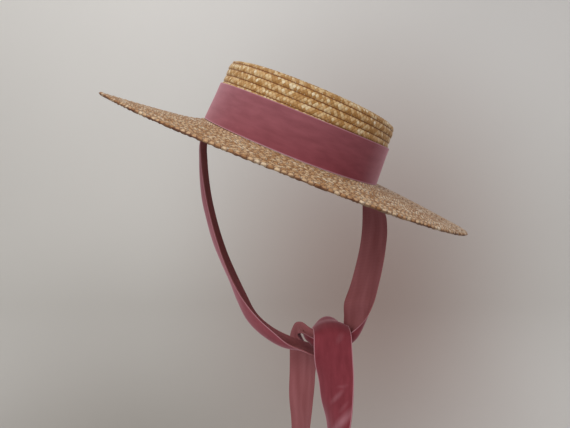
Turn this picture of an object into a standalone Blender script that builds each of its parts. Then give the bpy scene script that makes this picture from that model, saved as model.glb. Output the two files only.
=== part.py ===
"""A boater hat of plaited straw with a velvet ribbon band and two velvet chin ties, for Blender 4.5.

Metres, +Z up. The origin is the centre of the head opening, at the crown's foot. The hat has the
tilt it is worn with, so the ties hang straight down. Tables are in millimetres and degrees.
"""

import math
from typing import Callable, NamedTuple

import bpy
import numpy as np
from mathutils import Euler

MM = 0.001

# Crown: an oval whose half length is its half width and this much more
OVAL_EXTRA = 12.3
HEAD_HALF_WIDTH = 84.7
STRAW = 2.0
SEAM_GAP = 0.3

# Brim
BRIM_HALF_WIDTH = 177.8
BRIM_HALF_LENGTH = 189.1
BRIM_BEND = 1.35

# Ribbon, used for the band and for both ties
RIBBON = 35.0
RIBBON_THICKNESS = 1.0
BAND_FOOT = 1.7

# The hat as worn: tipped to the side, to the front and turned, in degrees
SIDE_TILT, FRONT_TILT, TURN = 22.0, 4.9, -1.9


class Ring(NamedTuple):
    """One oval of the crown's outside: its half width and its height."""

    half_width: float
    height: float


CROWN = (
    Ring(86.7, 1.3),
    Ring(86.0, 10.0),
    Ring(85.2, 21.0),
    Ring(84.3, 32.0),
    Ring(83.4, 43.0),
    Ring(82.6, 51.5),
    Ring(81.7, 54.8),
    Ring(80.2, 56.8),
    Ring(77.4, 58.2),
    Ring(73.0, 58.8),
    Ring(58.0, 59.6),
    Ring(40.0, 60.3),
    Ring(22.0, 60.8),
    Ring(5.0, 61.0),
)


class EdgeHeight(NamedTuple):
    """Height of the brim's edge at an angle round it: 0 is right, 90 is back, 270 is front."""

    angle: float
    height: float


BRIM_EDGE = (
    EdgeHeight(0, -6.0),
    EdgeHeight(30, -7.0),
    EdgeHeight(60, -6.5),
    EdgeHeight(90, -5.0),
    EdgeHeight(120, -9.5),
    EdgeHeight(150, -16.0),
    EdgeHeight(180, -16.5),
    EdgeHeight(210, -12.5),
    EdgeHeight(240, -9.5),
    EdgeHeight(270, -7.5),
    EdgeHeight(300, -7.0),
    EdgeHeight(330, -6.5),
)


class Fold(NamedTuple):
    """One section across a ribbon tie, in world millimetres and degrees.

    x, y, z is the middle of the line between the two selvedges. turn and tip point that line from
    the front selvedge to the back one. curl is how far the ribbon turns across its width.
    """

    x: float
    y: float
    z: float
    turn: float
    tip: float
    curl: float


# Heights above the crown's foot of the two sections sewn flat to the crown's inside
SEAT_HEIGHTS = (24.0, 6.0)
SEAT_INSET = 2.8
SEAT_CURL = 18.0
WALL_LEAN = 0.083

# From inside the crown at the left, down, under the chin, up behind, over and down in front
TIE_LEFT = (
    Fold(-85.5, -1, 8, 0, 0, 40),
    Fold(-85, -4, -10, 0, 0, 55),
    Fold(-83.5, -4, -28, 0, 0, 75),
    Fold(-80.8, -4, -47, 0, 0, 90),
    Fold(-76.6, -5, -66, 0, 0, 90),
    Fold(-71, -8, -85, 0, 0, 90),
    Fold(-64, -12, -104, 0, 0, 75),
    Fold(-55.5, -17, -122, 0, 0, 70),
    Fold(-45, -23, -140, 0, -4, 110),
    Fold(-33.5, -28, -156, -4, -9, 150),
    Fold(-18, -32, -169, -4, -8, 150),
    Fold(-3.5, -33, -178.5, 0, -4, 110),
    Fold(9.5, -32, -184.5, 0, -5, 44),
    Fold(22, -29.5, -189.5, 0, -2, 44),
    Fold(34.5, -22, -191, -35, 6, 90),
    Fold(39, -8, -187, -78, 0, 120),
    Fold(36, -1, -182, -90, 0, 160),
    Fold(36, -8, -176, -90, -6, 180),
    Fold(34.4, -22, -170.5, -90, -6, 106),
    Fold(36.4, -37, -166.5, -90, -4, 62),
    Fold(37, -47.5, -170, -90, 0, 44),
    Fold(37, -51, -178, -90, 0, 30),
    Fold(37.6, -52, -190, -84, 0, 24),
    Fold(40, -51, -212, -62, 0, 30),
    Fold(41, -50, -232, -51, 0, 36),
    Fold(42.2, -50, -257, -31, 0, 44),
    Fold(42.6, -50, -270, -27, 0, 44),
)

# From inside the crown at the right, down, through the bend of the other tie and down behind it
TIE_RIGHT = (
    Fold(73.4, -2.5, -37, 3, 3, 20),
    Fold(76, -2.5, -46.5, -9, 1, 24),
    Fold(80.7, -2, -60, -27, -1, 30),
    Fold(81.5, -4, -77, -33, -4, 30),
    Fold(79, -8, -96, -35, -5, 30),
    Fold(74.5, -13, -115, -39, -8, 34),
    Fold(69, -17, -134, -44, -10, 44),
    Fold(64, -23, -146, -50, -10, 70),
    Fold(59.5, -27, -160, -40, -9, 145),
    Fold(50.5, -30, -172.5, -12, -10, 190),
    Fold(38, -28.5, -177.5, -2, -2, 190),
    Fold(28, -26, -178.5, 0, 0, 195),
    Fold(18.5, -17.5, -176.5, 0, 0, 136),
    Fold(10.5, -7, -175, 0, 0, 66),
    Fold(5, 0, -178.5, -2, 0, 54),
    Fold(4.5, 3.5, -184.5, -10, 0, 56),
    Fold(6.5, 5, -193, -26, 0, 54),
    Fold(10.8, 4.5, -205, -46, 0, 50),
    Fold(11, 4, -226, -46, 0, 40),
    Fold(9.5, 4, -256, -42, 0, 44),
    Fold(9.1, 4, -286, -31, 0, 60),
    Fold(9.1, 4, -298, -29, 0, 62),
)


class Finish(NamedTuple):
    """A plain material: an sRGB colour and a roughness."""

    name: str
    colour: str
    roughness: float


STRAW_CROWN = Finish("golden_straw", "#A9824F", 0.75)
STRAW_BRIM = Finish("tan_straw", "#A8866B", 0.8)
VELVET_BAND = Finish("rose_velvet", "#83474F", 0.9)
VELVET_LEFT = Finish("rose_velvet_tie_left", "#7A3D45", 0.9)
VELVET_RIGHT = Finish("rose_velvet_tie_right", "#7E4349", 0.9)


def clear_scene() -> None:
    """Remove every object of the scene that the script starts in."""
    for item in list(bpy.data.objects):
        bpy.data.objects.remove(item, do_unlink=True)


def material_of(finish: Finish) -> bpy.types.Material:
    """Make a Principled material from a finish."""
    levels = [int(finish.colour[i : i + 2], 16) / 255 for i in (1, 3, 5)]
    linear = [v / 12.92 if v <= 0.04045 else ((v + 0.055) / 1.055) ** 2.4 for v in levels]
    material = bpy.data.materials.new(finish.name)
    material.use_nodes = True
    shader = material.node_tree.nodes["Principled BSDF"]
    shader.inputs["Base Color"].default_value = (*linear, 1.0)
    shader.inputs["Roughness"].default_value = finish.roughness
    shader.inputs["Metallic"].default_value = 0.0
    material.diffuse_color = (*linear, 1.0)
    return material


def grid_faces(rows: int, columns: int, closed: bool) -> list[tuple[int, int, int, int]]:
    """Quads between neighbouring rows of points, round a closed loop or across an open strip."""
    faces = []
    for row in range(rows - 1):
        for column in range(columns if closed else columns - 1):
            near, far = row * columns, (row + 1) * columns
            step = (column + 1) % columns
            faces.append((near + column, near + step, far + step, far + column))
    return faces


def sheet_object(
    name: str,
    points: np.ndarray,
    faces: list,
    thickness: float,
    side: float,
    finish: Finish,
    parent: bpy.types.Object,
    collection: bpy.types.Collection,
) -> bpy.types.Object:
    """Make an open surface and give it its thickness with Solidify.

    Args:
        points: The surface's points in millimetres.
        thickness: Thickness in millimetres.
        side: Where the thickness goes: -1 behind the surface, 0 on both sides, 1 in front.
    """
    mesh = bpy.data.meshes.new(name)
    mesh.from_pydata((points * MM).tolist(), [], faces)
    mesh.update()
    item = bpy.data.objects.new(name, mesh)
    item.parent = parent
    collection.objects.link(item)
    mesh.materials.append(material_of(finish))
    wall = item.modifiers.new("wall", "SOLIDIFY")
    wall.thickness = thickness * MM
    wall.offset = side
    wall.use_even_offset = True
    wall.use_rim = True
    return item


def oval(half_width: float, half_length: float, height: float, count: int) -> np.ndarray:
    """One oval ring of points, counterclockwise seen from above."""
    angle = np.arange(count) * math.tau / count
    ring = np.column_stack((half_width * np.cos(angle), half_length * np.sin(angle)))
    return np.column_stack((ring, np.full(count, height)))


def crown_points(count: int) -> np.ndarray:
    """Rings of the crown's outside, from its foot to the middle of its tip."""
    return np.vstack([oval(r.half_width, r.half_width + OVAL_EXTRA, r.height, count) for r in CROWN])


def wall_half_width(height: float) -> float:
    """Half width of the crown's outside at a height on its side wall."""
    heights = [ring.height for ring in CROWN]
    return float(np.interp(height, heights, [ring.half_width for ring in CROWN]))


def round_table(table: tuple[EdgeHeight, ...]) -> Callable[[float], float]:
    """A smooth closed curve through a table with even steps of angle."""
    values = [row.height for row in table]
    count = len(values)

    def height(angle: float) -> float:
        place = (math.degrees(angle) % 360) / (360 / count)
        first, u = int(place) % count, place - int(place)
        a, b, c, d = (values[(first + k) % count] for k in (-1, 0, 1, 2))
        bend = (2 * a - 5 * b + 4 * c - d) * u**2 + (3 * b - a - 3 * c + d) * u**3
        return 0.5 * (2 * b + (c - a) * u + bend)

    return height


def brim_points(rings: int, count: int) -> np.ndarray:
    """Rings of the brim's middle surface, from the head opening to the edge."""
    edge = round_table(BRIM_EDGE)
    inner = oval(HEAD_HALF_WIDTH, HEAD_HALF_WIDTH + OVAL_EXTRA, 0.0, count)
    outer = oval(BRIM_HALF_WIDTH, BRIM_HALF_LENGTH, 0.0, count)
    drop = np.array([edge(k * math.tau / count) for k in range(count)])
    points = []
    for step in range(rings + 1):
        share = step / rings
        ring = inner + (outer - inner) * share
        ring[:, 2] = drop * share**BRIM_BEND
        points.append(ring)
    return np.vstack(points)


def band_points(count: int, rows: int) -> np.ndarray:
    """Rings of the band's middle surface, close round the foot of the crown."""
    stand = SEAM_GAP + RIBBON_THICKNESS / 2
    points = []
    for height in np.linspace(BAND_FOOT, BAND_FOOT + RIBBON, rows):
        half_width = wall_half_width(height) + stand
        points.append(oval(half_width, half_width + OVAL_EXTRA, height, count))
    return np.vstack(points)


def seat_folds(side: float, hat: np.ndarray) -> list[Fold]:
    """The sections of a tie that lie flat inside the crown's wall, at left (-1) or right (1)."""
    across = hat @ np.array([0.0, 1.0, 0.0])
    turn = math.degrees(math.atan2(across[0], across[1]))
    tip = math.degrees(math.asin(across[2]))
    folds = []
    for height in SEAT_HEIGHTS:
        out = side * (HEAD_HALF_WIDTH - SEAT_INSET - WALL_LEAN * height)
        x, y, z = hat @ np.array([out, 0.0, height])
        folds.append(Fold(x, y, z, turn, tip, SEAT_CURL))
    return folds


def smooth_rows(table: np.ndarray, steps: int) -> np.ndarray:
    """Rows of a smooth curve through a table, with a number of steps between two rows."""
    gaps = np.linalg.norm(np.diff(table[:, :3], axis=0), axis=1)[:, None]
    rate = np.diff(table, axis=0) / gaps
    middle = (rate[:-1] * gaps[1:] + rate[1:] * gaps[:-1]) / (gaps[1:] + gaps[:-1])
    slope = np.vstack((rate[:1], middle, rate[-1:]))
    rows = []
    for i, gap in enumerate(gaps[:, 0]):
        for u in np.arange(steps) / steps:
            start = (2 * u**3 - 3 * u**2 + 1) * table[i]
            end = (3 * u**2 - 2 * u**3) * table[i + 1]
            leave = (u**3 - 2 * u**2 + u) * gap * slope[i]
            arrive = (u**3 - u**2) * gap * slope[i + 1]
            rows.append(start + end + leave + arrive)
    rows.append(table[-1])
    return np.array(rows)


def tie_points(folds: list[Fold], side: float, steps: int, cells: int) -> np.ndarray:
    """Points of a tie's middle surface: each section is an arc of the ribbon's width.

    Args:
        side: -1 for the left tie and 1 for the right one. The arc bulges outward.
        steps: Sections from one row of the table to the next.
        cells: Cells across the ribbon.
    """
    rows = smooth_rows(np.array(folds, dtype=float), steps)
    middle = rows[:, :3]
    travel = np.gradient(middle, axis=0)
    turn, tip, curl = np.radians(rows[:, 3:].T)
    across = np.column_stack((np.sin(turn) * np.cos(tip), np.cos(turn) * np.cos(tip), np.sin(tip)))
    outward = -side * np.cross(across, travel)
    outward /= np.linalg.norm(outward, axis=1)[:, None]
    radius = RIBBON / curl
    points = []
    for place in np.linspace(-0.5, 0.5, cells + 1):
        along = (radius * np.sin(place * curl))[:, None] * across
        bulge = (radius * (np.cos(place * curl) - np.cos(curl / 2)))[:, None] * outward
        points.append(middle + along + bulge)
    return np.stack(points, axis=1).reshape(-1, 3)


def build() -> None:
    """Build the five pieces of the hat."""
    clear_scene()
    collection = bpy.data.collections.new("boater_hat")
    bpy.context.scene.collection.children.link(collection)

    tilt = bpy.data.objects.new("worn_tilt", None)
    tilt.rotation_mode = "ZXY"
    angles = [math.radians(v) for v in (FRONT_TILT, SIDE_TILT, TURN)]
    tilt.rotation_euler = Euler(angles, "ZXY")
    tilt.empty_display_size = 0.05
    collection.objects.link(tilt)
    hat = np.array(Euler(angles, "ZXY").to_matrix())

    round_count = 48
    points = crown_points(round_count)
    faces = grid_faces(len(CROWN), round_count, closed=True)
    last = len(points) - round_count
    faces.append(tuple(range(last, last + round_count)))
    sheet_object("crown", points, faces, STRAW, -1, STRAW_CROWN, tilt, collection)

    rings, around = 7, 72
    faces = grid_faces(rings + 1, around, closed=True)
    faces = [face[::-1] for face in faces]
    points = brim_points(rings, around)
    sheet_object("brim", points, faces, STRAW, 0, STRAW_BRIM, tilt, collection)

    points = band_points(round_count, 5)
    faces = grid_faces(5, round_count, closed=True)
    sheet_object("hat_band", points, faces, RIBBON_THICKNESS, 0, VELVET_BAND, tilt, collection)

    steps, cells = 3, 8
    for name, side, table, finish in (
        ("tie_left", -1.0, TIE_LEFT, VELVET_LEFT),
        ("tie_right", 1.0, TIE_RIGHT, VELVET_RIGHT),
    ):
        points = tie_points(seat_folds(side, hat) + list(table), side, steps, cells)
        faces = grid_faces(len(points) // (cells + 1), cells + 1, closed=False)
        if side > 0:
            faces = [face[::-1] for face in faces]
        sheet_object(name, points, faces, RIBBON_THICKNESS, 0, finish, None, collection)


if __name__ == "__main__":
    build()
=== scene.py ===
"""A boater hat of plaited straw, with a velvet ribbon band and two velvet chin ties.

The hat stands in the tilt it is worn with. Sizes in the hat's classes are in millimetres and
degrees, those of the studio are in metres, and every mesh is in metres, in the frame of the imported
part.
"""

import logging
import math
from dataclasses import dataclass
from enum import Enum
from typing import Any, Callable, NamedTuple

import bpy
import numpy as np
from bpy.types import Material, Mesh, Node, NodeTree, Object
from bpy.types import NodeSocket as Socket
from mathutils import Euler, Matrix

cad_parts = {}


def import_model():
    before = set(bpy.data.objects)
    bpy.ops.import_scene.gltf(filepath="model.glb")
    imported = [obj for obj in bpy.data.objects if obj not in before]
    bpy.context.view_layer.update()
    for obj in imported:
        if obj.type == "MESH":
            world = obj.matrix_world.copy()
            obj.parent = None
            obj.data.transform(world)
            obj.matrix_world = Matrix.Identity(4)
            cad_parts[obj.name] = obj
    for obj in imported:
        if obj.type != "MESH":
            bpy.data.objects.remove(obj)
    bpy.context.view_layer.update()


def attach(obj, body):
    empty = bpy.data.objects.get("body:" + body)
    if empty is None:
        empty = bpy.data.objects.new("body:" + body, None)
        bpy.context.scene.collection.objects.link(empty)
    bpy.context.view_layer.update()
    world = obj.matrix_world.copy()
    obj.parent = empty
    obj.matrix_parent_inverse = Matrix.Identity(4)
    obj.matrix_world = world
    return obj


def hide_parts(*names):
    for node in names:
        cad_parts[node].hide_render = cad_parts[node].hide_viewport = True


LOG = logging.getLogger("boater_hat")
MM = 0.001
# A hair, in millimetres, to tell one place from the next
HAIR = 0.01

# The hat as worn: tipped to the front, to the side and turned
WORN_ANGLES = (4.9, 22.0, -1.9)
HAT_AXES = np.array(Euler([math.radians(v) for v in WORN_ANGLES], "ZXY").to_matrix())

# The head opening is an oval: its half length is its half width and this much more
OVAL_EXTRA = 12.3
HEAD_HALF_WIDTH = 84.7
# Pieces that are sewn together keep this much apart
SEAM_GAP = 0.3
CROWN_FOOT_HALF_WIDTH = 86.7
# How much the crown's wall leans in for each millimetre up
WALL_LEAN = 0.0769
CROWN_HEIGHT = 58.0
# How far the band, the inner brim and the crown's foot have sunk at the most
SETTLE = 2.3

RIBBON = 35.0
RIBBON_THICKNESS = 0.9


def linear(code: str) -> tuple[float, float, float, float]:
    """Turn an sRGB hex colour to a linear one.

    Args:
        code: The colour, such as "#B98F5E".

    Returns:
        Red, green, blue and an alpha of 1.
    """
    levels = [int(code[i : i + 2], 16) / 255 for i in (1, 3, 5)]
    red, green, blue = (v / 12.92 if v <= 0.04045 else ((v + 0.055) / 1.055) ** 2.4 for v in levels)
    return red, green, blue, 1.0


def new_material(name: str) -> tuple[Material, NodeTree, Node]:
    """Start a material.

    Args:
        name: The material's name.

    Returns:
        The material, its node tree and its shader.
    """
    material = bpy.data.materials.new(name)
    material.use_nodes = True
    tree = material.node_tree
    return material, tree, tree.nodes["Principled BSDF"]


def feed(node: Node, inputs: dict[Any, Any]) -> None:
    """Give a node its values and its links.

    Args:
        node: The node.
        inputs: Input name or number to a value, or to the socket that feeds it.
    """
    for name, value in inputs.items():
        if isinstance(value, Socket):
            node.id_data.links.new(value, node.inputs[name])
        else:
            node.inputs[name].default_value = value


def add(
    tree: NodeTree,
    kind: str,
    inputs: dict[Any, Any] | None = None,
    out: Any = 0,
    stops: tuple[tuple[float, str], ...] = (),
    **settings: Any,
) -> Socket:
    """Add a node with its settings, its values and its links.

    Args:
        tree: The material's node tree.
        kind: The node's type, as in its class name after ShaderNode.
        inputs: What feeds its inputs.
        out: Name or number of the output wanted.
        stops: A colour ramp's pairs of a position and an sRGB hex colour.
        **settings: The node's own settings.

    Returns:
        The wanted output socket.
    """
    node = tree.nodes.new("ShaderNode" + kind)
    for name, value in settings.items():
        setattr(node, name, value)
    elements = node.color_ramp.elements if stops else ()
    while len(elements) < len(stops):
        elements.new(0.5)
    for element, (place, code) in zip(elements, stops):
        element.position = place
        element.color = linear(code)
    feed(node, inputs or {})
    return node.outputs[out]


class Side(Enum):
    """The side of the picture that a tie comes down at, and the sign of its outward side."""

    LEFT = -1
    RIGHT = 1


class StrawPattern(NamedTuple):
    """The plaited pattern's sockets.

    along and across place a point in straw widths and in rows. place runs from 0 to 1 across the
    row. turn is 1 where the second set of straws lies on top. wide and long run from 0 to 1 across
    and along the straw on top, and own is its number. tone and height run from 0 to 1.
    """

    along: Socket
    across: Socket
    row: Socket
    place: Socket
    turn: Socket
    wide: Socket
    long: Socket
    own: Socket
    tone: Socket
    height: Socket


@dataclass(frozen=True)
class PlaitedStraw:
    """Wheat straw, split, plaited flat and sewn row by row: waxy lozenges, with painted shade in the
    crossings.

    The waxy skin gives each straw a small soft highlight, partly painted in as its palest tones. The
    gaps between straws and the line under each lapped row are painted a shaded brown.
    """

    name: str
    tones: tuple[tuple[float, str], ...]
    gap: str
    straw_mm: float
    # How dark the painted shade in the crossings and the painted shadow along the sewn lines are,
    # and how unevenly a row is worn, from 0 to 1
    crossing: float
    seam_shadow: float
    row_wear: float
    # The height of a straw below which painted shade darkens it toward the gap's brown
    gap_share: float = 0.6
    # How much darker the second set of straws is: a painted shade, for straws whose grain lies
    # across the light
    turn_shade: float = 0.14
    # How far the pattern moves on from row to row, in straw widths
    row_shift: float = 0.37
    # How much the tone drifts along the braid, and the level that it drifts from
    drift: float = 0.6
    drift_level: float = -0.52
    # Where the middle between two sewn lines lies across a row, and how they bend round a straw
    seam_middle: float = 0.54
    seam_bend: float = -0.07
    relief_mm: float = 0.4

    def material(self, row_pitch: float) -> Material:
        """Make the material.

        Args:
            row_pitch: Width of one sewn row, in millimetres.

        Returns:
            The node material. It reads a UV map with millimetres along the braid and rows across.
        """
        material, tree, shader = new_material(self.name)
        straws = self._pattern(tree, row_pitch)
        # Each row is handled and sewn a little differently along its length
        wear_row = add(tree, "Math", {0: straws.row, 1: 17.3}, operation="MULTIPLY")
        wear_at = add(tree, "CombineXYZ", {0: straws.along, 1: wear_row})
        wear = add(tree, "TexNoise", {"Vector": wear_at, "Scale": 0.3, "Detail": 1.0})
        # Painted shade: the crossings and the line under each lapped row darken toward the gap's
        # brown
        dark = self._painted_shade(tree, straws, wear)
        colour = self._straw_colour(tree, straws, wear)
        colour = add(tree, "Mix", {0: dark, 6: colour, 7: linear(self.gap)}, 2, data_type="RGBA")
        # The paler a straw, the waxier
        rough = add(tree, "MapRange", {"Value": straws.tone, "To Min": 0.66, "To Max": 0.42})
        relief = {"Strength": 0.8, "Distance": self.relief_mm * MM, "Height": straws.height}
        normal = add(tree, "Bump", relief)
        feed(shader, {"Base Color": colour, "Roughness": rough, "Normal": normal})
        feed(shader, {"IOR": 1.5, "Specular IOR Level": 0.4})
        return material

    def _pattern(self, tree: NodeTree, row_pitch: float) -> StrawPattern:
        """Lay out the crossing straws.

        Args:
            tree: The material's node tree.
            row_pitch: Width of one sewn row, in millimetres.

        Returns:
            The pattern's sockets.
        """
        uv = add(tree, "UVMap", uv_map="braid")
        run = add(tree, "SeparateXYZ", {0: uv})
        across = run.node.outputs[1]
        row, place = (add(tree, "Math", {0: across}, operation=v) for v in ("FLOOR", "FRACT"))
        shift = add(tree, "Math", {0: row, 1: self.row_shift}, operation="MULTIPLY")
        along = {0: run, 1: 1 / self.straw_mm, 2: shift}
        along = add(tree, "Math", along, operation="MULTIPLY_ADD")
        straws_across = row_pitch / self.straw_mm
        slant = {0: place, 1: straws_across, 2: -straws_across / 2}
        slant = add(tree, "Math", slant, operation="MULTIPLY_ADD")
        # Two sets of straws cross at a slant, and take turns to lie on top
        one = add(tree, "Math", {0: along, 1: slant}, operation="ADD")
        two = add(tree, "Math", {0: along, 1: slant}, operation="SUBTRACT")
        one_id, two_id = (add(tree, "Math", {0: v}, operation="FLOOR") for v in (one, two))
        one_in, two_in = (add(tree, "Math", {0: v}, operation="FRACT") for v in (one, two))
        both = add(tree, "Math", {0: one_id, 1: two_id}, operation="ADD")
        turn = add(tree, "Math", {0: both, 1: 2.0}, operation="FLOORED_MODULO")
        pairs = ((one_in, two_in), (two_in, one_in), (one_id, two_id))
        wide, long, own = (add(tree, "Mix", {"Factor": turn, "A": a, "B": b}) for a, b in pairs)
        humps = {0: self._hump(tree, wide, 0.5), 1: self._hump(tree, long, 0.4)}
        height = add(tree, "Math", humps, operation="MULTIPLY")
        # Each straw shows its own tone where it comes up, from pale wheat to brown
        seed = add(tree, "CombineXYZ", {0: one_id, 1: two_id, 2: row})
        tone = add(tree, "TexWhiteNoise", {"Vector": seed}, noise_dimensions="3D")
        return StrawPattern(along, across, row, place, turn, wide, long, own, tone, height)

    def _straw_colour(self, tree: NodeTree, straws: StrawPattern, wear: Socket) -> Socket:
        """Colour the straws by their tone, a slow drift, the row's wear and fine fibres.

        Args:
            tree: The material's node tree.
            straws: The plaited pattern.
            wear: How the row is worn along its length.

        Returns:
            The colour socket.
        """
        drift_at = add(tree, "CombineXYZ", {0: straws.along, 1: straws.across})
        drift = add(tree, "TexNoise", {"Vector": drift_at, "Scale": 0.2, "Detail": 2.0})
        # The second set of straws takes a painted shade
        lean = {0: straws.turn, 1: -self.turn_shade, 2: straws.tone}
        lean = add(tree, "Math", lean, operation="MULTIPLY_ADD")
        tint = {0: drift, 1: self.drift, 2: self.drift_level}
        tint = add(tree, "Math", tint, operation="MULTIPLY_ADD")
        tint = add(tree, "Math", {0: wear, 1: self.row_wear, 2: tint}, operation="MULTIPLY_ADD")
        tint = add(tree, "Math", {0: tint, 1: lean}, operation="ADD", use_clamp=True)
        # The palest stops stand partly for the waxy skin's highlights, painted into the colour
        colour = add(tree, "ValToRGB", {"Fac": tint}, stops=self.tones)
        # Fine fibres run along each straw
        fibre_at = add(tree, "CombineXYZ", {0: straws.wide, 1: straws.long, 2: straws.own})
        fibre_at = add(tree, "Mapping", {"Vector": fibre_at, "Scale": (9.0, 0.8, 3.1)})
        fibre = add(tree, "TexNoise", {"Vector": fibre_at, "Scale": 1.0, "Detail": 2.0})
        grain = {"Value": fibre, "From Min": 0.3, "From Max": 0.7, "To Min": 0.82, "To Max": 1.12}
        grain = add(tree, "MapRange", grain)
        return add(tree, "HueSaturation", {"Value": grain, "Color": colour})

    def _painted_shade(self, tree: NodeTree, straws: StrawPattern, wear: Socket) -> Socket:
        """Paint shade into the crossings, and a shadow along the line where one row is sewn over the
        next.

        Args:
            tree: The material's node tree.
            straws: The plaited pattern.
            wear: How the row is worn along its length.

        Returns:
            The share of the painted shade's brown, from 0 to 1.
        """
        gap = {"Value": straws.height, "From Min": 0.1, "From Max": self.gap_share}
        gap = add(tree, "MapRange", gap | {"To Min": self.crossing, "To Max": 0.0})
        # The row above laps over this one, and a painted shadow runs along the sewn line
        away = add(tree, "Math", {0: straws.place, 1: self.seam_middle}, operation="SUBTRACT")
        away = add(tree, "Math", {0: away}, operation="ABSOLUTE")
        away = {0: straws.height, 1: self.seam_bend, 2: away}
        away = add(tree, "Math", away, operation="MULTIPLY_ADD")
        seam_shadow = {"Value": away, "From Min": 0.31, "From Max": 0.38, "To Max": self.seam_shadow}
        seam_shadow = add(tree, "MapRange", seam_shadow)
        tight = {"Value": wear, "From Min": 0.62, "From Max": 0.4, "To Min": 1 - self.row_wear}
        tight = add(tree, "MapRange", tight)
        seam_shadow = add(tree, "Math", {0: seam_shadow, 1: tight}, operation="MULTIPLY")
        return add(tree, "Math", {0: gap, 1: seam_shadow}, operation="MAXIMUM")

    @staticmethod
    def _hump(tree: NodeTree, place: Socket, power: float) -> Socket:
        """Round a 0 to 1 place into a hump that is 0 at both ends and 1 in the middle.

        Args:
            tree: The material's node tree.
            place: The place.
            power: How full the hump is: the smaller, the fuller.

        Returns:
            The hump's socket.
        """
        rest = add(tree, "Math", {0: 1.0, 1: place}, operation="SUBTRACT")
        hump = add(tree, "Math", {0: place, 1: rest}, operation="MULTIPLY")
        hump = add(tree, "Math", {0: hump, 1: 4.0}, operation="MULTIPLY", use_clamp=True)
        return add(tree, "Math", {0: hump, 1: power}, operation="POWER")


@dataclass(frozen=True)
class Velvet:
    """Rayon velvet ribbon: a short upright pile, dark face on, that blooms pink at its edges, where
    a sheen is painted in.
    """

    name: str
    pile: str
    deep: str
    bloom: str
    sheen: float
    # How much of the tone comes from the tufts
    tuft_share: float = 0.35
    # How the painted sheen gathers where the pile is seen along the surface
    slant_power: float = 3.4
    painted_slant_sheen: float = 0.52
    selvedge_bloom: float = 0.55

    def material(self) -> Material:
        """Make the pile's material.

        Returns:
            The node material. It reads a UV map in metres, and the attribute "crush", which pales
            the pile where it is crushed and where light is painted on.
        """
        material, tree, shader = new_material(self.name)
        place = add(tree, "UVMap", uv_map="ribbon")
        # The pile leans a little here and there, in soft marks drawn out along the ribbon
        drawn = add(tree, "Mapping", {"Vector": place, "Scale": (60.0, 210.0, 1.0)})
        lean = add(tree, "TexNoise", {"Vector": drawn, "Scale": 1.0, "Detail": 4.0})
        # Pile tufts stand 0.4 mm apart, drawn at 0.6 mm to show
        tuft = add(tree, "TexNoise", {"Vector": place, "Scale": 1600.0, "Detail": 1.0})
        tone = add(tree, "Math", {0: tuft, 1: self.tuft_share, 2: lean}, operation="MULTIPLY_ADD")
        stops = ((0.25, self.deep), (1.0, self.pile))
        colour = add(tree, "ValToRGB", {"Fac": tone}, stops=stops)
        # Where the pile is crushed it turns its side to the light; the same paling also carries
        # painted light on the band and the left tie
        crush_and_painted_light = add(tree, "Attribute", out="Fac", attribute_name="crush_and_painted_light")
        cloud = {"Value": lean, "From Min": 0.3, "From Max": 0.7, "To Min": 0.86, "To Max": 1.14}
        cloud = add(tree, "MapRange", cloud)
        soft = add(tree, "Math", {0: crush_and_painted_light, 1: cloud}, operation="MULTIPLY", use_clamp=True)
        # The woven selvedge, 0.8 mm wide, has hardly any pile and is paler
        across = add(tree, "SeparateXYZ", {0: place}, out=1)
        rim = add(tree, "Math", {0: across, 1: RIBBON * MM / 2}, operation="SUBTRACT")
        rim = add(tree, "Math", {0: rim}, operation="ABSOLUTE")
        edge = {"From Min": (RIBBON / 2 - 1.0) * MM, "From Max": (RIBBON / 2 - 0.5) * MM}
        selvedge = add(tree, "MapRange", edge | {"Value": rim, "To Max": self.selvedge_bloom})
        pale = add(tree, "Math", {0: soft, 1: selvedge}, operation="MAXIMUM")
        # Seen along the surface, the pile's tips catch the light: a painted sheen pales the colour
        # there
        slant = add(tree, "LayerWeight", {"Blend": 0.5}, out="Facing")
        slant = add(tree, "Math", {0: slant, 1: self.slant_power}, operation="POWER")
        slant = add(tree, "Math", {0: slant, 1: self.painted_slant_sheen}, operation="MULTIPLY")
        pale = add(tree, "Math", {0: pale, 1: slant}, operation="ADD", use_clamp=True)
        bloom = linear(self.bloom)
        colour = add(tree, "Mix", {0: pale, 6: colour, 7: bloom}, 2, data_type="RGBA")
        relief = {"Strength": 0.25, "Distance": 0.2 * MM, "Height": tone}
        values = {
            "Base Color": colour,
            "Roughness": 0.85,
            "Specular IOR Level": 0.1,
            "Sheen Weight": self.sheen,
            "Sheen Roughness": 0.35,
            "Sheen Tint": bloom,
            "Normal": add(tree, "Bump", relief),
        }
        feed(shader, values)
        return material


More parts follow.
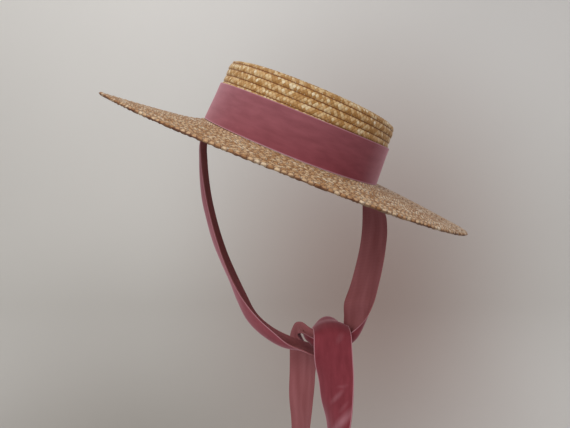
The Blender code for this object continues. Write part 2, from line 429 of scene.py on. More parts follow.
@dataclass(frozen=True)
class RibbonBack:
    """The plain woven back of velvet ribbon: flat, matt and a little mauve."""

    name: str
    weft: str
    warp: str
    # How much of the tone comes from the threads
    rib_share: float = 0.15

    def material(self) -> Material:
        """Make the back's material, with threads 0.35 mm apart drawn at 0.7 mm to show.

        Returns:
            The node material. It reads a UV map in metres.
        """
        material, tree, shader = new_material(self.name)
        place = add(tree, "UVMap", uv_map="ribbon")
        threads = {"Vector": place, "Scale": 220.0, "Distortion": 1.0, "Detail": 1.0}
        ribs = add(tree, "TexWave", threads, out="Fac", bands_direction="X")
        # Soft lengthwise shading, where the ribbon was rolled
        drawn = add(tree, "Mapping", {"Vector": place, "Scale": (14.0, 95.0, 1.0)})
        cloud = add(tree, "TexNoise", {"Vector": drawn, "Scale": 1.0, "Detail": 2.0})
        tone = add(tree, "Math", {0: ribs, 1: self.rib_share, 2: cloud}, operation="MULTIPLY_ADD")
        stops = ((0.2, self.weft), (1.0, self.warp))
        relief = {"Strength": 0.3, "Distance": 0.1 * MM, "Height": ribs}
        values = {
            "Base Color": add(tree, "ValToRGB", {"Fac": tone}, stops=stops),
            "Roughness": 0.8,
            "Specular IOR Level": 0.2,
            "Sheen Weight": 0.25,
            "Sheen Roughness": 0.5,
            "Sheen Tint": linear(self.warp),
            "Normal": add(tree, "Bump", relief),
        }
        feed(shader, values)
        return material


class Shade(NamedTuple):
    """A soft shade on the wall: its middle and its reach in metres, and the light left there."""

    middle: tuple[float, float, float]
    reach: tuple[float, float, float]
    light: str


@dataclass(frozen=True)
class MattPaint:
    """Matt emulsion on the studio's floor and wall, darker where a soft shade lies on it."""

    name: str
    colour: str
    shades: tuple[Shade, ...] = ()

    def material(self) -> Material:
        """Make the paint's material, with the faint unevenness of a rolled wall.

        Returns:
            The node material. It reads Object coordinates.
        """
        material, tree, shader = new_material(self.name)
        place = add(tree, "TexCoord", out="Object")
        cloud = add(tree, "TexNoise", {"Vector": place, "Scale": 1.5, "Detail": 2.0})
        tone = add(tree, "MapRange", {"Value": cloud, "To Min": 0.97, "To Max": 1.03})
        colour = add(tree, "HueSaturation", {"Value": tone, "Color": linear(self.colour)})
        for shade in self.shades:
            near = {"Vector": place, "Location": shade.middle, "Scale": shade.reach}
            near = add(tree, "Mapping", near, vector_type="TEXTURE")
            far = add(tree, "VectorMath", {0: near}, out="Value", operation="LENGTH")
            clear = add(tree, "MapRange", {"Value": far}, interpolation_type="SMOOTHSTEP")
            light = {0: clear, 6: linear(shade.light), 7: linear("#FFFFFF")}
            light = add(tree, "Mix", light, 2, data_type="RGBA")
            both = {0: 1.0, 6: colour, 7: light}
            colour = add(tree, "Mix", both, 2, data_type="RGBA", blend_type="MULTIPLY")
        feed(shader, {"Base Color": colour, "Roughness": 0.95, "Specular IOR Level": 0.1})
        return material


def settle(angle: np.ndarray) -> np.ndarray:
    """How far the band and the inner brim have sunk at angles round the hat, in millimetres.

    Args:
        angle: Angles in radians, where 0 is right, over the tie, and the brim has kept its place.

    Returns:
        The distance down.
    """
    return SETTLE * np.where(np.cos(angle) > 0, np.sin(angle) ** 2, 1.0)


def smooth_rows(table: np.ndarray, steps: int, axes: int) -> np.ndarray:
    """Run a smooth curve through the rows of a table.

    Args:
        table: One row for each section.
        steps: Steps from one row to the next.
        axes: How many of the first columns say how far apart two rows are.

    Returns:
        The rows of the curve.
    """
    gaps = np.linalg.norm(np.diff(table[:, :axes], axis=0), axis=1)[:, None]
    rate = np.diff(table, axis=0) / gaps
    middle = (rate[:-1] * gaps[1:] + rate[1:] * gaps[:-1]) / (gaps[1:] + gaps[:-1])
    slope = np.vstack((rate[:1], middle, rate[-1:]))
    rows = []
    for i, gap in enumerate(gaps[:, 0]):
        for u in np.arange(steps) / steps:
            start = (2 * u**3 - 3 * u**2 + 1) * table[i]
            end = (3 * u**2 - 2 * u**3) * table[i + 1]
            leave = (u**3 - 2 * u**2 + u) * gap * slope[i]
            arrive = (u**3 - u**2) * gap * slope[i + 1]
            rows.append(start + end + leave + arrive)
    rows.append(table[-1])
    return np.array(rows)


def mesh_piece(
    name: str,
    points: np.ndarray,
    faces: np.ndarray,
    uv_name: str,
    uv: np.ndarray,
    materials: list[Material],
) -> Object:
    """Make a smooth mesh of quads with a UV map, at the origin.

    Args:
        name: The piece's name.
        points: Points in metres.
        faces: Four point numbers a row.
        uv_name: Name of the UV map.
        uv: Four UV pairs for each face.
        materials: The piece's materials, one a slot.

    Returns:
        The new object, linked to the scene and active.
    """
    mesh = bpy.data.meshes.new(name)
    mesh.vertices.add(len(points))
    mesh.vertices.foreach_set("co", points.astype(np.float32).ravel())
    mesh.loops.add(faces.size)
    mesh.loops.foreach_set("vertex_index", faces.astype(np.int32).ravel())
    mesh.polygons.add(len(faces))
    mesh.polygons.foreach_set("loop_start", np.arange(0, faces.size, 4, dtype=np.int32))
    mesh.update(calc_edges=True)
    mesh.polygons.foreach_set("use_smooth", np.ones(len(faces), dtype=bool))
    layer = mesh.uv_layers.new(name=uv_name)
    layer.data.foreach_set("uv", uv.astype(np.float32).ravel())
    for material in materials:
        mesh.materials.append(material)
    piece = bpy.data.objects.new(name, mesh)
    bpy.context.scene.collection.objects.link(piece)
    bpy.ops.object.select_all(action="DESELECT")
    bpy.context.view_layer.objects.active = piece
    piece.select_set(True)
    return piece


def merge_close_points(distance: float) -> None:
    """Merge the active piece's points that lie close together.

    Args:
        distance: How close, in metres.
    """
    bpy.ops.object.mode_set(mode="EDIT")
    bpy.ops.mesh.select_all(action="SELECT")
    bpy.ops.mesh.remove_doubles(threshold=distance)
    bpy.ops.object.mode_set(mode="OBJECT")


def give_thickness(piece: Object, thickness: float, group: str = "", other: int = 0) -> None:
    """Turn the active piece's surface into a closed wall.

    Args:
        piece: The piece, which is active.
        thickness: Thickness in millimetres, half of it on each side.
        group: Vertex group that thins the wall, if any.
        other: Added to the material slot of the second side.
    """
    wall = piece.modifiers.new("wall", "SOLIDIFY")
    wall.thickness = thickness * MM
    wall.offset = 0.0
    wall.use_rim = True
    wall.material_offset = other
    wall.material_offset_rim = other
    if group:
        wall.vertex_group = group
        wall.thickness_vertex_group = 0.0
    bpy.ops.object.modifier_apply(modifier=wall.name)


@dataclass
class BraidWork:
    """One long straw braid wound in a spiral and sewn row by row, as a surface of ovals."""

    name: str
    finish: PlaitedStraw
    node: str
    slot: str
    pitch: float
    start: float
    length: float
    columns: int
    thickness: float
    # Places across a row, its lap over the next row, and its share of the thickness there
    places: tuple[float, ...] = (0.0, 0.14, 0.5, 0.86)
    laps: tuple[float, ...] = (-0.34, -0.16, 0.08, 0.3)
    swell: tuple[float, ...] = (0.38, 0.84, 1.0, 0.9)
    # The outermost row may be thicker, and curl down at its edge
    edge_swell: float = 1.0
    edge_drop: float = 0.0
    # How high the crossing straws stand
    relief: float = 0.2
    # The share of a turn, up to the back, over which the braid steps out to the next row
    step_share: float = 1.0
    # How near its two edges the braid work lies flat, in millimetres
    inner_hem: float = HAIR
    outer_hem: float = HAIR

    def build(
        self, shape: Callable[[np.ndarray, np.ndarray], tuple[np.ndarray, np.ndarray]]
    ) -> Object:
        """Build the braid work.

        Args:
            shape: Gives the points and the outward directions, in the hat's own axes, at distances
                along the spiral's slope and at angles round it.

        Returns:
            The finished piece.
        """
        cells = len(self.places)
        rows = math.ceil((self.length - self.start) / self.pitch) + 1
        steps = rows * cells + 1
        place = np.tile(self.places, rows + 1)[:steps]
        row = np.arange(steps) // cells
        level = (row + place)[:, None]
        share = (np.arange(self.columns) / self.columns)[None, :]
        step = np.clip((share - 1 + self.step_share) / self.step_share, 0, 1)
        distance = np.clip(self.start + (level + step) * self.pitch, 0.0, self.length)
        angle = math.pi / 2 + math.tau * share + 0 * distance
        points, outward = shape(distance, angle)

        # Length along the braid, so that it runs on from row to row
        closed = np.concatenate((points, points[:, :1]), axis=1)
        round_length = np.linalg.norm(np.diff(closed, axis=1), axis=2).sum(axis=1)
        middles = np.minimum(np.arange(rows) * cells + cells // 2, steps - 1)
        turn_length = round_length[middles]
        before = np.cumsum(turn_length) - turn_length
        turn = np.minimum(row, rows - 1)
        along = before[turn][:, None] + share * turn_length[turn][:, None]

        # The rows lap, the straws stand out of them, and both fade at the hems
        inside = (distance > 0.0) & (distance < self.length)
        lap = np.tile(self.laps, rows + 1)[:steps][:, None]
        lift = lap + self.relief * self._weave(along, place[:, None], row[:, None])
        lift = lift * np.clip(distance / self.inner_hem, 0, 1)
        lift = lift * np.clip((self.length - distance) / self.outer_hem, 0, 1)
        lift = np.where(inside, lift, np.where(distance > 0.0, -self.edge_drop, 0.0))
        points = points + outward * lift[..., None]
        world = points.reshape(-1, 3) @ HAT_AXES.T * MM

        faces, uv = self._faces(steps, cells, before, turn_length)
        straw = self.finish.material(self.pitch)
        piece = mesh_piece(self.name, world, faces, "braid", uv, [straw])
        swell = np.tile(self.swell, rows + 1)[:steps][:, None] * np.ones_like(distance)
        outermost = distance > self.length - self.pitch + HAIR
        swell = np.where(outermost, swell, swell / self.edge_swell)
        group = piece.vertex_groups.new(name="swell")
        flat = swell.ravel()
        for value in np.unique(flat):
            group.add(np.nonzero(flat == value)[0].tolist(), float(value), "REPLACE")
        merge_close_points(2 * HAIR * MM)
        give_thickness(piece, self.thickness * self.edge_swell, group.name)
        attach(piece, "root")
        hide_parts(self.node)
        return piece

    def _weave(self, along: np.ndarray, place: np.ndarray, row: np.ndarray) -> np.ndarray:
        """Raise the crossing straws in the pattern that the finish draws.

        Args:
            along: Places along the braid, in millimetres.
            place: Places across a row, from 0 to 1.
            row: Numbers of the rows.

        Returns:
            The straws' height, from 0 to 1.
        """
        size = self.finish.straw_mm
        x = along / size + row * self.finish.row_shift
        y = (place - 0.5) * self.pitch / size
        one, two = x + y, x - y
        turn = (np.floor(one) + np.floor(two)) % 2
        wide = np.where(turn > 0.5, two % 1, one % 1)
        long = np.where(turn > 0.5, one % 1, two % 1)
        weave = np.sqrt(4 * wide * (1 - wide)) * (4 * long * (1 - long)) ** 0.8
        return np.where(place > 0, weave, 0.0)

    def _faces(
        self, steps: int, cells: int, before: np.ndarray, turn_length: np.ndarray
    ) -> tuple[np.ndarray, np.ndarray]:
        """Lay out the spiral grid's faces.

        Args:
            steps: Steps outward over all the rows.
            cells: Steps outward in one row.
            before: Length of braid before each turn, in millimetres.
            turn_length: Length of each turn, in millimetres.

        Returns:
            The quads, and their UV pairs in millimetres along the braid and rows across it.
        """
        count = self.columns
        j, i = np.meshgrid(np.arange(steps - 1), np.arange(count), indexing="ij")
        j, i = j.ravel(), i.ravel()

        def number(step: np.ndarray, column: np.ndarray) -> np.ndarray:
            """Point number, where the last column is the first one of the next row."""
            onward = np.minimum(step + cells, steps - 1) * count
            return np.where(column < count, step * count + column, onward)

        corners = ((j, i), (j + 1, i), (j + 1, i + 1), (j, i + 1))
        faces = np.stack([number(step, column) for step, column in corners], axis=1)
        row = j // cells
        low = np.array(self.places)[j % cells]
        high = np.append(self.places[1:], 1.0)[j % cells]
        # A hair inside the row's limits, so that no face reads as the next row
        low, high = (row + 0.002 + 0.996 * v for v in (low, high))
        near = before[row] + turn_length[row] * i / count
        far = before[row] + turn_length[row] * (i + 1) / count
        uv = np.stack((near, low, near, high, far, high, far, low), axis=1)
        keep = np.array([len(set(face)) > 2 for face in faces.tolist()])
        return faces[keep], uv[keep].reshape(-1, 4, 2)


class Ring(NamedTuple):
    """One oval of the crown's middle surface: its half width and its height."""

    half_width: float
    height: float


@dataclass
class Crown:
    """The low crown: a nearly flat tip, a rounded shoulder and an upright wall."""

    finish: PlaitedStraw
    rings: tuple[Ring, ...] = (
        Ring(0.0, CROWN_HEIGHT),
        Ring(22.0, 57.8),
        Ring(40.0, 57.3),
        Ring(58.0, 56.6),
        Ring(72.0, 56.0),
        Ring(78.2, 55.6),
        Ring(80.9, 54.5),
        Ring(81.9, 51.8),
        Ring(82.4, 43.0),
        Ring(83.3, 32.0),
        Ring(84.2, 21.0),
        Ring(85.0, 10.0),
        Ring(85.7, 1.6),
    )
    pitch: float = 5.6
    # Height of the first groove below the shoulder, at the front
    first_groove: float = 52.9
    columns: int = 400
    thickness: float = 1.8
    # Steps of the smooth curve from one ring to the next
    curve_steps: int = 12

    def build(self) -> Object:
        """Build the crown.

        Returns:
            The finished piece.
        """
        curve = smooth_rows(np.array(self.rings), self.curve_steps, 2)
        step = np.linalg.norm(np.diff(curve, axis=0), axis=1)
        run = np.concatenate(([0.0], np.cumsum(step)))
        slope = np.gradient(curve, run, axis=0)
        slope /= np.linalg.norm(slope, axis=1)[:, None]
        groove = float(np.interp(-self.first_groove, -curve[:, 1], run))
        start = (groove - self.pitch / 2) % self.pitch - 2 * self.pitch

        def shape(distance: np.ndarray, angle: np.ndarray) -> tuple[np.ndarray, np.ndarray]:
            """Give points and outward directions of the crown's ovals."""
            half, height, out, down = (
                np.interp(distance, run, column) for column in (*curve.T, *slope.T)
            )
            x, y = np.cos(angle), np.sin(angle)
            height = height - settle(angle) * (1 - height / CROWN_HEIGHT)
            points = np.stack((half * x, (half + OVAL_EXTRA) * y, height), axis=-1)
            side = np.stack(((half + OVAL_EXTRA) * x, half * y), axis=-1)
            side /= np.maximum(np.linalg.norm(side, axis=-1), HAIR)[..., None]
            outward = np.concatenate((side * -down[..., None], out[..., None]), axis=-1)
            return points, outward

        work = BraidWork(
            name="plaited_crown",
            finish=self.finish,
            node="crown",
            slot="crown_straw",
            pitch=self.pitch,
            start=start,
            length=run[-1],
            columns=self.columns,
            thickness=self.thickness,
            outer_hem=3.0,
        )
        return work.build(shape)


@dataclass
class Brim:
    """The wide, gently drooping brim."""

    finish: PlaitedStraw
    half_width: float = 178.0
    half_length: float = 187.5
    # How the droop is shared out from the crown to the edge, and how much later it comes at the
    # right, where the brim lies over the tie
    bend: float = 0.6
    bend_at_tie: float = 0.75
    # Heights of the edge every 30 degrees, from the right by the back, and from the left by the
    # front
    edge_by_back: tuple[float, ...] = (-7.5, -8.5, -9.0, -10.5, -14.0, -17.0)
    edge_by_front: tuple[float, ...] = (-19.5, -11.5, -8.5, -6.5, -6.5, -6.5)
    width: float = 92.6
    # The ring under the band that stays level
    flat: float = 3.5
    pitch: float = 4.8
    columns: int = 820
    thickness: float = 1.9

    def build(self) -> Object:
        """Build the brim.

        Returns:
            The finished piece.
        """
        values = np.array(self.edge_by_back + self.edge_by_front)
        count = len(values)

        def edge_height(angle: np.ndarray) -> np.ndarray:
            """Follow a smooth closed curve through the edge heights."""
            place = (np.degrees(angle) % 360) / (360 / count)
            first = place.astype(int) % count
            u = place - np.floor(place)
            a, b, c, d = (values[(first + k) % count] for k in (-1, 0, 1, 2))
            bend = (2 * a - 5 * b + 4 * c - d) * u**2 + (3 * b - a - 3 * c + d) * u**3
            return 0.5 * (2 * b + (c - a) * u + bend)

        def shape(distance: np.ndarray, angle: np.ndarray) -> tuple[np.ndarray, np.ndarray]:
            """Give points and upward directions of the brim's ovals."""
            share = distance / self.width
            fall = np.maximum(distance - self.flat, 0.0) / (self.width - self.flat)
            x, y = np.cos(angle), np.sin(angle)
            inner = HEAD_HALF_WIDTH + SEAM_GAP
            half = inner + (self.half_width - inner) * share
            length = inner + OVAL_EXTRA + (self.half_length - inner - OVAL_EXTRA) * share
            bend = self.bend + self.bend_at_tie * np.maximum(x, 0) ** 4
            height = (edge_height(angle) + settle(angle)) * fall**bend - settle(angle)
            points = np.stack((half * x, length * y, height), axis=-1)
            outward = np.zeros_like(points)
            outward[..., 2] = 1.0
            return points, outward

        work = BraidWork(
            name="plaited_brim",
            finish=self.finish,
            node="brim",
            slot="brim_straw",
            pitch=self.pitch,
            start=self.width % self.pitch - 2 * self.pitch,
            length=self.width,
            columns=self.columns,
            thickness=self.thickness,
            step_share=0.08,
            inner_hem=5.0,
            places=(0.0, 0.2, 0.8),
            laps=(-0.26, -0.08, 0.26),
            swell=(0.4, 0.95, 1.0),
            edge_swell=1.1,
            edge_drop=0.6,
        )
        return work.build(shape)


def strip_piece(
    name: str,
    points: np.ndarray,
    flip: bool,
    crush_and_painted_light: np.ndarray,
    pile: Velvet,
    back: RibbonBack,
) -> tuple[Object, float]:
    """Make a ribbon from a grid of points, velvet on one side and plain on the other.

    Args:
        name: The piece's name.
        points: Sections along the ribbon by places across it, in millimetres in the part's frame.
        flip: Whether the velvet side is the other one.
        crush_and_painted_light: How pale the pile is at each point, from 0 to 1: where it is
            crushed, and where light is painted on.
        pile: The velvet side's finish.
        back: The plain side's finish.

    Returns:
        The piece, and the ribbon's length along its middle in metres.
    """
    rows, columns = points.shape[:2]
    middle = points[:, columns // 2]
    run = np.concatenate(([0.0], np.cumsum(np.linalg.norm(np.diff(middle, axis=0), axis=1)))) * MM
    j, i = np.meshgrid(np.arange(rows - 1), np.arange(columns - 1), indexing="ij")
    j, i = j.ravel(), i.ravel()
    corners = [(j, i), (j, i + 1), (j + 1, i + 1), (j + 1, i)]
    if flip:
        corners = corners[::-1]
    faces = np.stack([a * columns + b for a, b in corners], axis=1)
    across = np.linspace(0, RIBBON * MM, columns)
    uv = np.stack([np.stack((run[a], across[b]), axis=1) for a, b in corners], axis=1)
    materials = [pile.material(), back.material()]
    piece = mesh_piece(name, points.reshape(-1, 3) * MM, faces, "ribbon", uv, materials)
    mark = piece.data.attributes.new("crush_and_painted_light", "FLOAT", "POINT")
    mark.data.foreach_set("value", crush_and_painted_light.astype(np.float32).ravel())
    give_thickness(piece, RIBBON_THICKNESS, other=1)
    bpy.ops.object.shade_smooth_by_angle(angle=math.radians(50))
    return piece, float(run[-1])


@dataclass
class HatBand:
    """The velvet ribbon round the foot of the crown, lapped over its own end at the back."""

    pile: Velvet
    back: RibbonBack
    foot: float = 1.3
    # Where the ribbon starts, how far it laps, and where and over how many degrees it climbs on its
    # own end
    start: float = 100.0
    lap: float = 9.0
    climb_from: float = 350.0
    climb: float = 12.0
    # How far the top edge stands off the straw at the right, where the crown's wall turns in, how
    # far the foot does, and how slack the whole ribbon is
    stand_top: float = 0.5
    stand_foot: float = 0.25
    slack: float = 0.2
    long_ripple: float = 0.12
    short_ripple: float = 0.08
    sections: int = 560
    cells: int = 24
    # How pale the pile is at angles round the hat, and how much paler along its top: painted light,
    # with a little of the pile's own lay
    painted_light_angles: tuple[float, ...] = (100.0, 210.0, 318.0, 334.0, 348.0, 469.0)
    bloom: tuple[float, ...] = (0.17, 0.18, 0.05, 0.2, 0.38, 0.2)
    painted_top_light: float = 0.1

    def build(self) -> Object:
        """Build the band.

        Returns:
            The finished piece.
        """
        turned = np.linspace(0, 360 + self.lap, self.sections)[:, None]
        angle = np.radians(self.start + turned)
        height = np.linspace(self.foot, self.foot + RIBBON, self.cells + 1)[None, :]
        share = (height - self.foot) / RIBBON
        over = np.clip((turned - self.climb_from) / self.climb, 0, 1)
        over = over * over * (3 - 2 * over) * (RIBBON_THICKNESS + SEAM_GAP)
        stand = self.stand_top * share**2 * (0.5 + 0.5 * np.cos(angle + 0.35))
        stand = stand + self.stand_foot * (1 - share) ** 4
        ripple = self.long_ripple * np.sin(5 * angle + 2) * np.sin(math.pi * share)
        ripple = ripple + self.short_ripple * np.sin(9 * angle + 7 * share + 1)
        out = SEAM_GAP + RIBBON_THICKNESS / 2 + over + stand + self.slack + ripple
        half = CROWN_FOOT_HALF_WIDTH - WALL_LEAN * (height - settle(angle)) + out
        x, y = half * np.cos(angle), (half + OVAL_EXTRA) * np.sin(angle)
        points = np.stack((x, y, height - settle(angle)), axis=-1)
        # Painted light: the band's pile is paler where the light falls on it and where it turns
        # edgewise, and toward its top
        bloom = np.interp(self.start + turned, self.painted_light_angles, self.bloom)
        crush_and_painted_light = bloom + self.painted_top_light * share
        world = points @ HAT_AXES.T
        piece, length = strip_piece("velvet_band", world, True, crush_and_painted_light, self.pile, self.back)
        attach(piece, "root")
        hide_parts("hat_band")
        return piece


class Fold(NamedTuple):
    """One section across a ribbon tie, in millimetres and degrees in the part's frame.

    x, y, z is the middle of the line between the two selvedges. turn and tip point that line from
    the front selvedge to the back one. curl is how far the ribbon turns across its width.
    """

    x: float
    y: float
    z: float
    turn: float
    tip: float
    curl: float


class PaleMark(NamedTuple):
    """A soft mark of paler pile, where the pile is crushed, and in one broad mark painted light.

    along and across place its middle, in millimetres from the ribbon's start and middle. length and
    width are half its size, slant is in degrees, and strength is how pale it is, from 0 to 1.
    """

    along: float
    across: float
    length: float
    width: float
    slant: float
    strength: float


@dataclass
class RibbonTie:
    """A velvet ribbon tie, from the inside of the crown to its cut end."""

    side: Side
    node: str
    pile: Velvet
    back: RibbonBack
    folds: tuple[Fold, ...]
    marks: tuple[PaleMark, ...]
    bloom: float = 0.03
    # The sewn end: its sections' heights above the crown's foot, how far in from the straw's inner
    # face it lies, how it curls, and how the straw leans in there
    seat_heights: tuple[float, ...] = (24.0, 6.0)
    seat_inset: float = 2.8
    seat_curl: float = 18.0
    seat_lean: float = 0.083
    # Sections from one fold to the next, and cells across
    steps: int = 11
    cells: int = 22

    def surface(self) -> tuple[np.ndarray, np.ndarray, np.ndarray]:
        """Lay out the tie's middle surface.

        Returns:
            Points by section and by place across, the distance of each section along the tie, and
            the places across from -0.5 to 0.5, all in millimetres.
        """
        rows = smooth_rows(np.array(self._seat() + list(self.folds), dtype=float), self.steps, 3)
        middle = rows[:, :3]
        travel = np.gradient(middle, axis=0)
        turn, tip, curl = np.radians(rows[:, 3:].T)
        level = np.cos(tip)
        across = np.column_stack((np.sin(turn) * level, np.cos(turn) * level, np.sin(tip)))
        outward = -self.side.value * np.cross(across, travel)
        outward /= np.linalg.norm(outward, axis=1)[:, None]
        radius = RIBBON / curl
        points = []
        places = np.linspace(-0.5, 0.5, self.cells + 1)
        for place in places:
            along = (radius * np.sin(place * curl))[:, None] * across
            bulge = (radius * (np.cos(place * curl) - np.cos(curl / 2)))[:, None] * outward
            points.append(middle + along + bulge)
        run = np.concatenate(([0.0], np.cumsum(np.linalg.norm(np.diff(middle, axis=0), axis=1))))
        return np.stack(points, axis=1), run, places * RIBBON

    def build(self) -> Object:
        """Build the tie.

        Returns:
            The finished piece.
        """
        grid, run, places = self.surface()
        crush_and_painted_light = np.full(grid.shape[:2], self.bloom)
        for mark in self.marks:
            along = (run - mark.along)[:, None]
            across = (places - mark.across)[None, :]
            lean = math.radians(mark.slant)
            one = (along * math.cos(lean) + across * math.sin(lean)) / mark.length
            two = (across * math.cos(lean) - along * math.sin(lean)) / mark.width
            crush_and_painted_light = np.maximum(crush_and_painted_light, mark.strength * np.exp(-(one**2) - two**2))
        name = f"velvet_{self.node}"
        flip = self.side is Side.RIGHT
        piece, length = strip_piece(name, grid, flip, crush_and_painted_light, self.pile, self.back)
        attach(piece, "root")
        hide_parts(self.node)
        return piece

    def _seat(self) -> list[Fold]:
        """Lay out the sections that lie flat against the inside of the crown's wall.

        Returns:
            The sections, from the sewn end down.
        """
        across = HAT_AXES @ np.array([0.0, 1.0, 0.0])
        turn = math.degrees(math.atan2(across[0], across[1]))
        tip = math.degrees(math.asin(across[2]))
        folds = []
        for height in self.seat_heights:
            out = self.side.value * (HEAD_HALF_WIDTH - self.seat_inset - self.seat_lean * height)
            x, y, z = HAT_AXES @ np.array([out, 0.0, height])
            folds.append(Fold(x, y, z, turn, tip, self.seat_curl))
        return folds


LEFT_FOLDS = (
    Fold(-85.5, -1, 8, 0, 0, 40),
    Fold(-85, -4, -10, 0, 0, 55),
    Fold(-83.5, -4, -28, 0, 0, 75),
    Fold(-80.8, -4, -47, 0, 0, 90),
    Fold(-76.6, -5, -66, 0, 0, 90),
    Fold(-71, -8, -85, 0, 0, 90),
    Fold(-64, -12, -104, 0, 0, 75),
    Fold(-55.5, -17, -122, 0, 0, 70),
    Fold(-45, -23, -140, 0, -4, 110),
    Fold(-33.5, -28, -156, -4, -9, 150),
    Fold(-18, -32, -169, -4, -8, 150),
    Fold(-3.5, -33, -178.5, 0, -4, 110),
    Fold(9.5, -32, -184.5, 0, -5, 44),
    Fold(22, -29.5, -189.5, 0, -2, 44),
    Fold(34.5, -22, -191, -35, 6, 90),
    Fold(39, -8, -187, -78, 0, 120),
    Fold(36, -1, -182, -90, 0, 160),
    Fold(36, -8, -176, -90, -6, 180),
    Fold(34.4, -22, -170.5, -90, -6, 106),
    Fold(36.4, -37, -166.5, -90, -4, 62),
    Fold(37, -47.5, -170, -90, 0, 44),
    Fold(37, -51, -178, -90, 0, 30),
    Fold(37.6, -52, -190, -84, 0, 24),
    Fold(40, -51, -212, -62, 0, 30),
    Fold(41, -50, -232, -51, 0, 36),
    Fold(42.2, -50, -257, -31, 0, 44),
    Fold(42.6, -50, -270, -27, 0, 44),
)

RIGHT_FOLDS = (
    Fold(73.4, -2.5, -37, 3, 3, 20),
    Fold(76, -2.5, -46.5, -9, 1, 24),
    Fold(80.7, -2, -60, -27, -1, 30),
    Fold(81.5, -4, -77, -33, -4, 30),
    Fold(79, -8, -96, -35, -5, 30),
    Fold(74.5, -13, -115, -39, -8, 34),
    Fold(69, -17, -134, -44, -10, 44),
    Fold(64, -23, -146, -50, -10, 70),
    Fold(59.5, -27, -160, -40, -9, 145),
    Fold(50.5, -30, -172.5, -12, -10, 190),
    Fold(38, -28.5, -177.5, -2, -2, 190),
    Fold(28, -26, -178.5, 0, 0, 195),
    Fold(18.5, -17.5, -176.5, 0, 0, 136),
    Fold(10.5, -7, -175, 0, 0, 66),
    Fold(5, 0, -178.5, -2, 0, 54),
    Fold(4.5, 3.5, -184.5, -10, 0, 56),
    Fold(6.5, 5, -193, -26, 0, 54),
    Fold(10.8, 4.5, -205, -46, 0, 50),
    Fold(11, 4, -226, -46, 0, 40),
    Fold(9.5, 4, -256, -42, 0, 44),
    Fold(9.1, 4, -286, -31, 0, 60),
    Fold(9.1, 4, -298, -29, 0, 62),
)


class SoftBox(NamedTuple):
    """A square lamp: where it hangs and what it aims at, its side, its power and its colour."""

    name: str
    place: tuple[float, float, float]
    aim: tuple[float, float, float]
    side: float
    watts: float
    colour: str


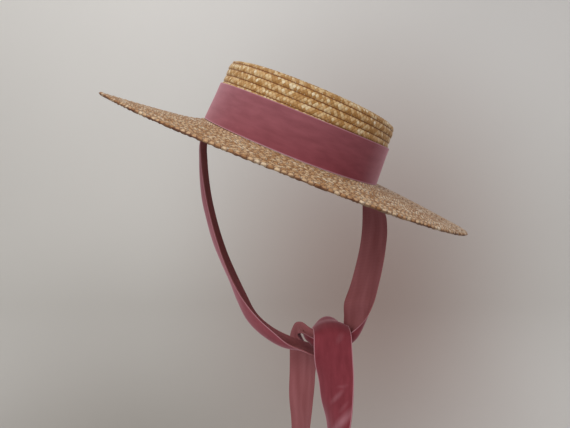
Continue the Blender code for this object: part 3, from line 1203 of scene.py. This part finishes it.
@dataclass
class Studio:
    """A plain pale floor that sweeps up into a wall, soft lights and the camera, in metres."""

    paint: MattPaint
    wall_y: float = 1.6
    floor_z: float = -1.1
    wide: float = 9.0
    wall_height: float = 8.0
    fold: float = 0.5
    fold_segments: int = 24
    air: str = "#C9C8CA"
    air_strength: float = 0.6
    lamps: tuple[SoftBox, ...] = (
        SoftBox("window", (-0.9, -1.6, 0.9), (0.0, 0.0, -0.05), 1.3, 27.0, "#FFF9F2"),
        SoftBox("fill", (1.5, -1.1, 0.2), (0.0, 0.0, -0.1), 1.5, 4.5, "#FBE6E2"),
        SoftBox("back_fill", (1.7, 0.9, 0.8), (0.0, 0.0, 0.0), 1.2, 5.0, "#F4F4F8"),
        SoftBox("wall_wash", (-0.5, 0.5, 1.7), (-0.3, 1.6, 0.6), 1.4, 13.0, "#FFFFFF"),
    )
    camera_place: tuple[float, float, float] = (-0.0065, -0.4745, -0.0208)
    camera_pitch: float = 85.0
    # The lens's focal length and the frame's width, in pixels of the photograph
    focal_px: float = 480.0
    frame_px: float = 570.0

    def build_sweep(self) -> Object:
        """Build the floor and wall as one sheet with a rounded fold.

        Returns:
            The stage object.
        """
        bpy.ops.object.select_all(action="DESELECT")
        bpy.ops.mesh.primitive_plane_add(size=1.0, location=(0.0, 0.0, 0.0))
        sweep = bpy.context.object
        sweep.name = "studio_sweep"
        bpy.ops.object.mode_set(mode="EDIT")
        bpy.ops.mesh.select_all(action="SELECT")
        depth = self.wide / 2 + self.wall_y
        bpy.ops.transform.resize(value=(self.wide, depth, 1.0))
        bpy.ops.transform.translate(value=(0.0, self.wall_y - depth / 2, self.floor_z))
        self._select_wall_foot(sweep.data)
        rise = {"value": (0.0, 0.0, self.wall_height)}
        bpy.ops.mesh.extrude_region_move(TRANSFORM_OT_translate=rise)
        self._select_wall_foot(sweep.data)
        bpy.ops.mesh.bevel(offset=self.fold, segments=self.fold_segments, profile=0.5)
        bpy.ops.object.mode_set(mode="OBJECT")
        for face in sweep.data.polygons:
            face.use_smooth = True
        sweep.data.materials.append(self.paint.material())
        return sweep

    def _select_wall_foot(self, mesh: Mesh) -> None:
        """Select the line where the wall stands on the floor, and go on in edit mode.

        Args:
            mesh: The sweep's mesh, which is being edited.
        """
        bpy.ops.object.mode_set(mode="OBJECT")
        for vertex in mesh.vertices:
            vertex.select = vertex.co.y > self.wall_y - MM and vertex.co.z < self.floor_z + MM
        for edge in mesh.edges:
            edge.select = all(mesh.vertices[v].select for v in edge.vertices)
        for face in mesh.polygons:
            face.select = False
        bpy.ops.object.mode_set(mode="EDIT")

    def build_lights(self) -> None:
        """Light the hat softly from the front left, as a window does, with a weak fill."""
        world = bpy.data.worlds.new("studio_air")
        world.use_nodes = True
        air = world.node_tree.nodes["Background"]
        feed(air, {"Color": linear(self.air), "Strength": self.air_strength})
        bpy.context.scene.world = world
        for box in self.lamps:
            lamp = bpy.data.lights.new(box.name, "AREA")
            lamp.size = box.side
            lamp.energy = box.watts
            lamp.color = linear(box.colour)[:3]
            item = bpy.data.objects.new(box.name, lamp)
            bpy.context.scene.collection.objects.link(item)
            item.location = box.place
            line = np.array(box.aim) - np.array(box.place)
            flat = math.hypot(line[0], line[1])
            item.rotation_euler = (math.atan2(flat, -line[2]), 0.0, math.atan2(-line[0], line[1]))

    def build_camera(self) -> None:
        """Place the camera where the photograph was taken from."""
        lens = bpy.data.cameras.new("camera")
        lens.sensor_width = 36.0
        lens.lens = self.focal_px / self.frame_px * lens.sensor_width
        lens.clip_start = 0.01
        camera = bpy.data.objects.new("camera", lens)
        bpy.context.scene.collection.objects.link(camera)
        camera.location = self.camera_place
        camera.rotation_euler = (math.radians(self.camera_pitch), 0.0, 0.0)
        bpy.context.scene.camera = camera


LEFT_MARKS = (
    PaleMark(430, -7, 6, 1.6, 74, 0.12),
    PaleMark(441, -2, 10, 2.2, 38, 0.19),
    PaleMark(449, -9, 9, 2.0, 34, 0.11),
    PaleMark(463, -8, 18, 3.6, 36, 0.31),
    PaleMark(474, 2, 10, 2.0, 30, 0.16),
    PaleMark(388, -6, 6, 3.0, 40, 0.1),
    # Not crushed pile: this broad mark pales the whole upper tie as painted light on its outer face
    PaleMark(150, 0, 110, 60.0, 0, 0.24),
)

# The palest stops of each ramp are partly painted highlights of the waxy straw, and the gap's brown
# is painted shade
GOLDEN_STRAW = PlaitedStraw(
    "golden_wheat_straw",
    ((0.0, "#AB8047"), (0.3, "#CAA46F"), (0.62, "#D9C092"), (0.84, "#E6D8B7"), (1.0, "#F2EADA")),
    "#7C4A1C",
    straw_mm=3.4,
    crossing=0.45,
    seam_shadow=1.0,
    row_wear=0.12,
)

TAN_STRAW = PlaitedStraw(
    "tan_wheat_straw",
    ((0.0, "#A2764A"), (0.25, "#BC9269"), (0.6, "#CEAC84"), (0.86, "#DCC4A2"), (1.0, "#E6D6BE")),
    "#54290F",
    straw_mm=4.4,
    crossing=0.95,
    seam_shadow=0.95,
    row_wear=0.5,
    gap_share=0.76,
)

ROSE_VELVET = Velvet("rose_rayon_velvet", "#82333E", "#68242D", "#CC9FAC", sheen=0.35)
ROSE_BACK = RibbonBack("rose_ribbon_back", "#7A4043", "#9E646A")

WALL_SHADES = (
    Shade((0.36, 1.6, -0.53), (1.02, 1.02, 1.39), "#C5B3AF"),
    Shade((-0.58, 1.2, -1.6), (1.53, 1.53, 1.53), "#AAA49E"),
    Shade((0.44, 1.6, 1.0), (2.7, 2.7, 2.7), "#F1F1F3"),
)


def main() -> None:
    """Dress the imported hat, light it, and report each piece."""
    logging.basicConfig(level=logging.INFO, format="%(message)s")
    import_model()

    left = RibbonTie(Side.LEFT, "tie_left", ROSE_VELVET, ROSE_BACK, LEFT_FOLDS, LEFT_MARKS)
    right = RibbonTie(Side.RIGHT, "tie_right", ROSE_VELVET, ROSE_BACK, RIGHT_FOLDS, ())
    built = [
        Crown(GOLDEN_STRAW).build(),
        Brim(TAN_STRAW).build(),
        HatBand(ROSE_VELVET, ROSE_BACK).build(),
        left.build(),
        right.build(),
    ]
    for piece in built:
        triangles = sum(len(face.vertices) - 2 for face in piece.data.polygons)
        LOG.info("%s: %d triangles", piece.name, triangles)

    studio = Studio(MattPaint("pale_studio_paint", "#DEDDD9", WALL_SHADES))
    studio.build_sweep()
    studio.build_lights()
    studio.build_camera()
    bpy.context.scene.view_settings.view_transform = "Standard"
    LOG.info("studio: sweep, lights and camera")


if __name__ == "__main__":
    main()
